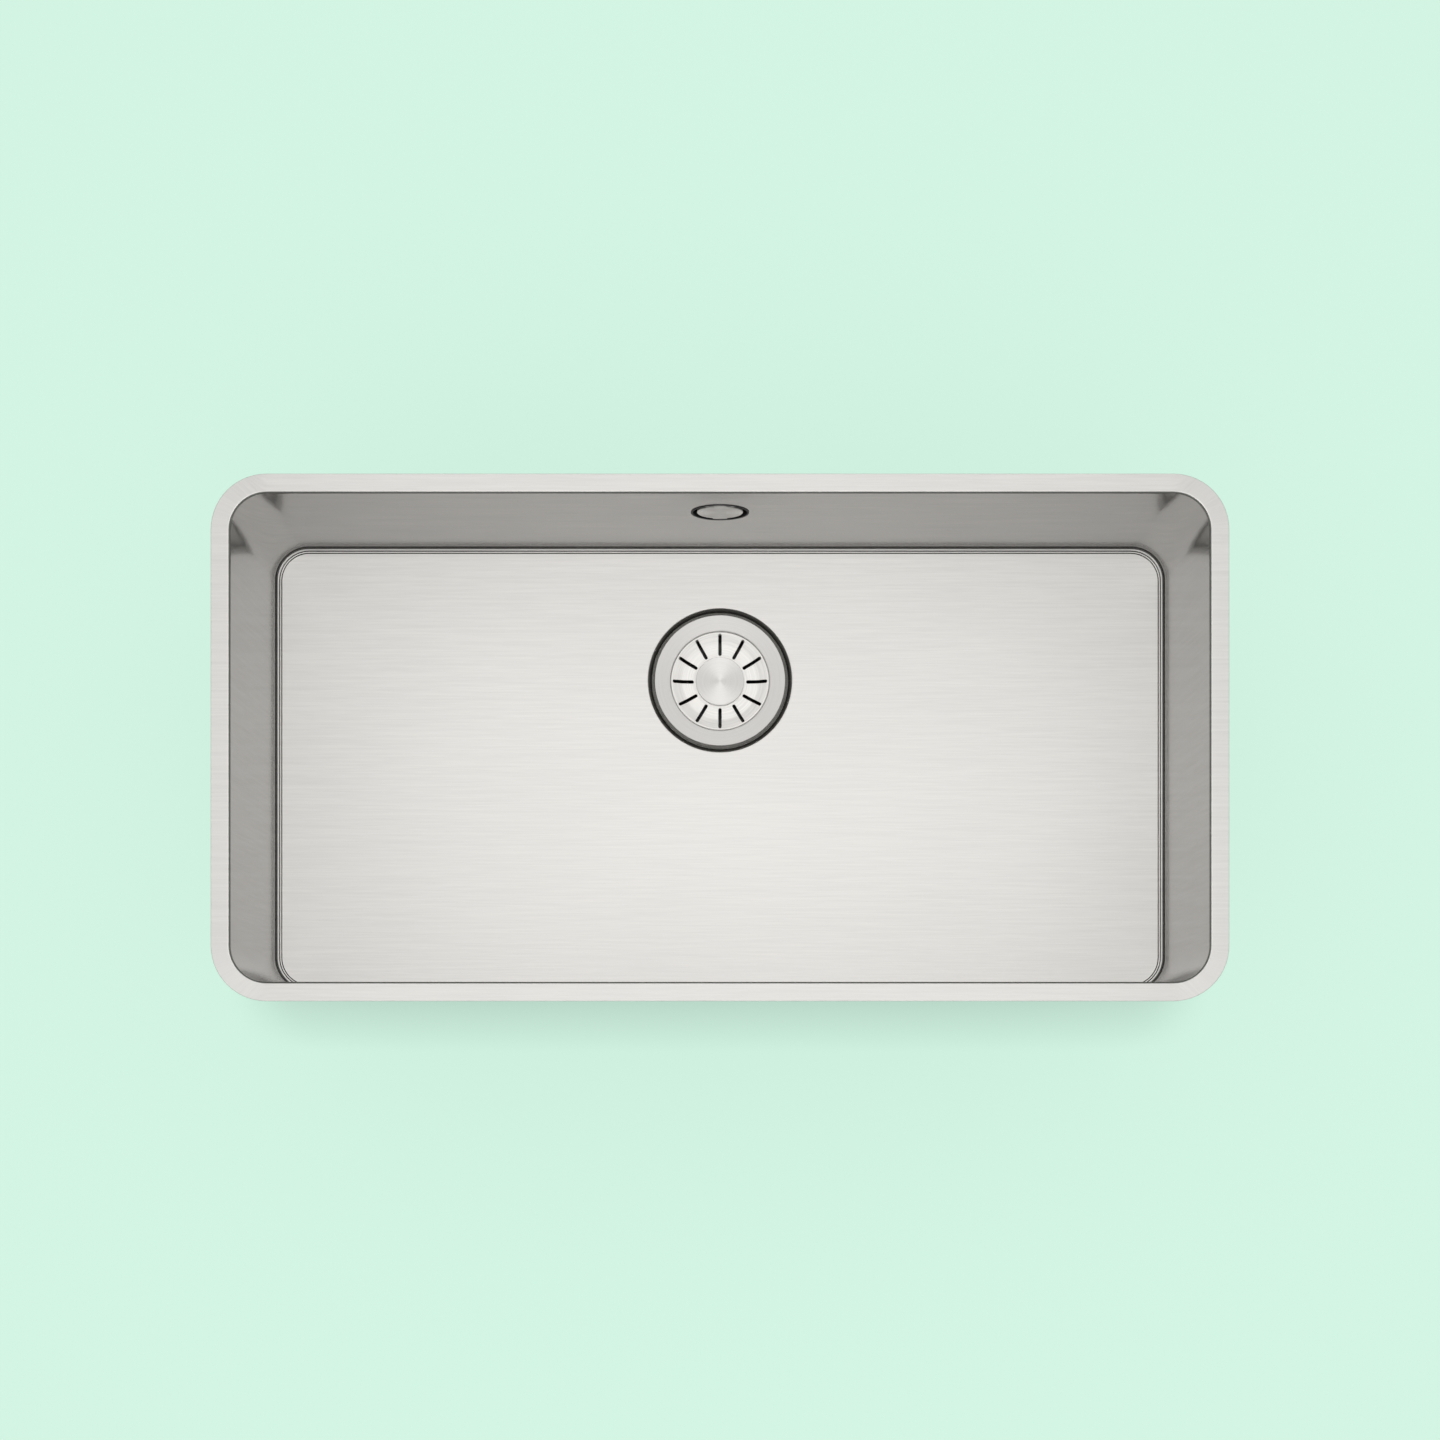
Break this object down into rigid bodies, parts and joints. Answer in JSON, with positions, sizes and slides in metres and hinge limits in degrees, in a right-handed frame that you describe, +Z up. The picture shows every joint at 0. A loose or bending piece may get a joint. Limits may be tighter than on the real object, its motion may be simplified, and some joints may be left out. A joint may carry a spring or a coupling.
{
  "type": "undermount kitchen sink",
  "caption": "Single-bowl stainless undermount kitchen sink with a lift-out basket waste, a round overflow with its hose, and swing-out fixing clips under its flange.",
  "frame": {"origin": "centre of the flange's top face, where the worktop's underside bears", "axes": "+X along the sink's length, +Y to its back wall with the overflow, +Z up"},
  "size_m": [0.786, 0.4307, 0.262],
  "materials": {
    "bowl_steel": "fine brushing along the sink's length, satin",
    "waste_steel": "spun satin",
    "strainer_steel": "spun satin",
    "overflow_steel": "spun satin",
    "fixing_steel": "zinc plated",
    "screw_steel": "plain stainless",
    "insert_brass": "turned",
    "black_rubber": "matt",
    "foam_seal": "closed-cell foam",
    "body_plastic": "moulded, slight texture",
    "nut_plastic": "moulded, slight texture",
    "hose_plastic": "corrugated, semi-gloss",
    "bush_plastic": "moulded",
    "pad_rubber": "matt, finely pebbled"
  },
  "bodies": {
    "sink": {"sink_bowl": "bowl_steel", "waste_cup": "waste_steel", "flange_seal": "foam_seal", "body_seal": "black_rubber", "waste_body": "body_plastic", "clamp_insert": "insert_brass", "clamp_screw": "screw_steel", "overflow_bezel": "overflow_steel", "overflow_screw": "screw_steel", "overflow_seal": "black_rubber", "overflow_housing": "body_plastic", "overflow_hose": "hose_plastic", "upper_hose_washer": "black_rubber", "lower_hose_washer": "black_rubber", "upper_union_nut": "nut_plastic", "lower_union_nut": "nut_plastic", "clip_studs": "fixing_steel", "clip_nuts": "fixing_steel", "floor_pad_left": "pad_rubber", "floor_pad_right": "pad_rubber", "floor_pad_front": "pad_rubber", "wall_pad_front": "pad_rubber", "wall_pad_left": "pad_rubber", "wall_pad_right": "pad_rubber", "wall_pad_back_left": "pad_rubber", "wall_pad_back_right": "pad_rubber"},
    "strainer": {"strainer_basket": "strainer_steel", "stem_bush": "bush_plastic"},
    "plug": {"strainer_knob": "strainer_steel", "strainer_stem": "screw_steel", "stem_collar": "bush_plastic", "plug_seal": "black_rubber", "plug_washer": "screw_steel", "plug_nut": "screw_steel"},
    "overflow_cover": {"overflow_cap": "overflow_steel"},
    "arm_front_1": {"clip_arm_front_1": "fixing_steel"},
    "arm_front_2": {"clip_arm_front_2": "fixing_steel"},
    "arm_front_3": {"clip_arm_front_3": "fixing_steel"},
    "arm_front_4": {"clip_arm_front_4": "fixing_steel"},
    "arm_back_1": {"clip_arm_back_1": "fixing_steel"},
    "arm_back_2": {"clip_arm_back_2": "fixing_steel"},
    "arm_back_3": {"clip_arm_back_3": "fixing_steel"},
    "arm_back_4": {"clip_arm_back_4": "fixing_steel"},
    "arm_left": {"clip_arm_left": "fixing_steel"},
    "arm_right": {"clip_arm_right": "fixing_steel"}
  },
  "joints": [
    {"name": "strainer_lift", "type": "slide", "parent": "sink", "child": "strainer", "axis": [0, 0, 1], "range_m": [0, 0.26]},
    {"name": "plug_lift", "type": "slide", "parent": "strainer", "child": "plug", "axis": [0, 0, 1], "range_m": [0, 0.008]},
    {"name": "overflow_cap_pull", "type": "slide", "parent": "sink", "child": "overflow_cover", "axis": [0, -1, 0], "range_m": [0, 0.025]},
    {"name": "arm_front_1_swing", "type": "hinge", "parent": "sink", "child": "arm_front_1", "pos_m": [-0.29, -0.1965, -0.00265], "axis": [0, 0, 1], "range_deg": [0, 180]},
    {"name": "arm_front_2_swing", "type": "hinge", "parent": "sink", "child": "arm_front_2", "pos_m": [-0.1, -0.1965, -0.00265], "axis": [0, 0, 1], "range_deg": [0, 180]},
    {"name": "arm_front_3_swing", "type": "hinge", "parent": "sink", "child": "arm_front_3", "pos_m": [0.1, -0.1965, -0.00265], "axis": [0, 0, 1], "range_deg": [0, 180]},
    {"name": "arm_front_4_swing", "type": "hinge", "parent": "sink", "child": "arm_front_4", "pos_m": [0.29, -0.1965, -0.00265], "axis": [0, 0, 1], "range_deg": [0, 180]},
    {"name": "arm_back_1_swing", "type": "hinge", "parent": "sink", "child": "arm_back_1", "pos_m": [-0.29, 0.1965, -0.00265], "axis": [0, 0, 1], "range_deg": [0, 180]},
    {"name": "arm_back_2_swing", "type": "hinge", "parent": "sink", "child": "arm_back_2", "pos_m": [-0.1, 0.1965, -0.00265], "axis": [0, 0, 1], "range_deg": [0, 180]},
    {"name": "arm_back_3_swing", "type": "hinge", "parent": "sink", "child": "arm_back_3", "pos_m": [0.1, 0.1965, -0.00265], "axis": [0, 0, 1], "range_deg": [0, 180]},
    {"name": "arm_back_4_swing", "type": "hinge", "parent": "sink", "child": "arm_back_4", "pos_m": [0.29, 0.1965, -0.00265], "axis": [0, 0, 1], "range_deg": [0, 180]},
    {"name": "arm_left_swing", "type": "hinge", "parent": "sink", "child": "arm_left", "pos_m": [-0.386, 0, -0.00265], "axis": [0, 0, 1], "range_deg": [0, 180]},
    {"name": "arm_right_swing", "type": "hinge", "parent": "sink", "child": "arm_right", "pos_m": [0.386, 0, -0.00265], "axis": [0, 0, 1], "range_deg": [0, 180]}
  ]
}
